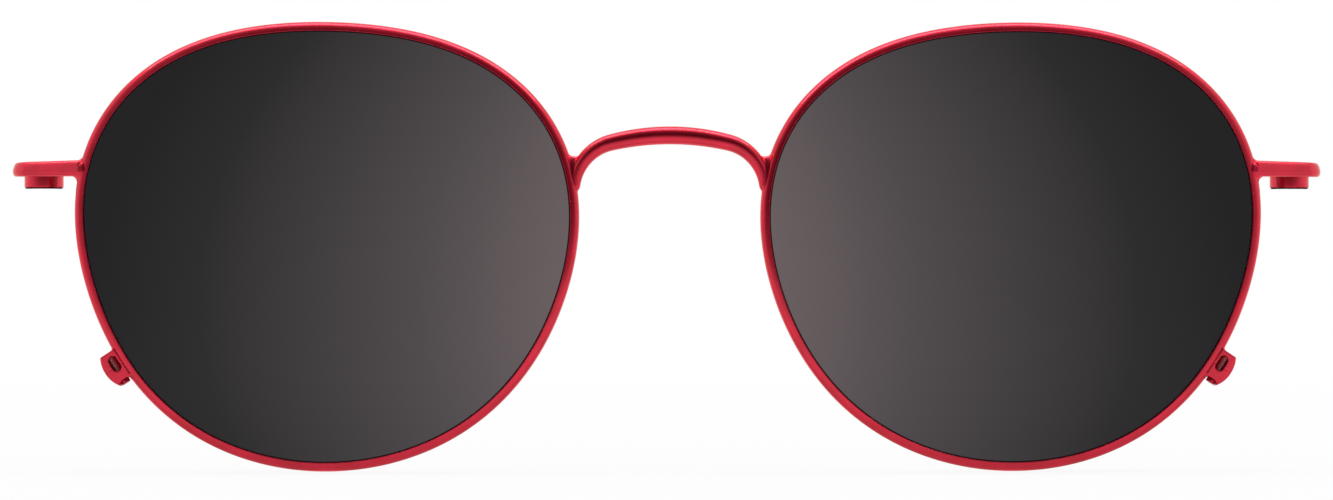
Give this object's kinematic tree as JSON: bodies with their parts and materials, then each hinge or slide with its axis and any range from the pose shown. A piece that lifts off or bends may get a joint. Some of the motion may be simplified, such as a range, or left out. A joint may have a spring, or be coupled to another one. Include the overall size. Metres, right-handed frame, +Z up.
{
  "type": "magnetic clip-on spectacle front",
  "caption": "Clip-on sun lenses in round grooved metal rings with a wire bridge, side arms with magnets under round paddles, and screwed closing blocks.",
  "frame": {"origin": "middle of the bounding box: on the plane of symmetry, level with the middle of the lenses, half way from front to back", "axes": "+X to the viewer's right as the front is looked at, +Y away from the viewer towards the host frame and the wearer, +Z up"},
  "size_m": [0.1324, 0.0138, 0.0448],
  "materials": {
    "lacquered_frame": "glossy translucent red lacquer over metal",
    "lens": "polished dark grey sun lens",
    "magnet": "bright nickel plating",
    "screw": "turned steel"
  },
  "bodies": {
    "clip_front": {"left_eyewire": "lacquered_frame", "right_eyewire": "lacquered_frame", "bridge": "lacquered_frame", "left_arm": "lacquered_frame", "right_arm": "lacquered_frame", "left_magnet_cup": "lacquered_frame", "right_magnet_cup": "lacquered_frame", "left_magnet": "magnet", "right_magnet": "magnet", "left_lens": "lens", "right_lens": "lens", "left_block_upper": "lacquered_frame", "left_block_lower": "lacquered_frame", "right_block_upper": "lacquered_frame", "right_block_lower": "lacquered_frame"},
    "left_screw": {"left_rim_screw": "screw"},
    "right_screw": {"right_rim_screw": "screw"}
  },
  "joints": [
    {"name": "left_screw_turn", "type": "hinge", "parent": "clip_front", "child": "left_screw", "pos_m": [-0.05521, -0.00219, -0.01202], "axis": [0.5456, -0.0488, -0.8366], "continuous": true},
    {"name": "right_screw_turn", "type": "hinge", "parent": "clip_front", "child": "right_screw", "pos_m": [0.05521, -0.00219, -0.01202], "axis": [-0.5456, -0.0488, -0.8366], "continuous": true}
  ]
}
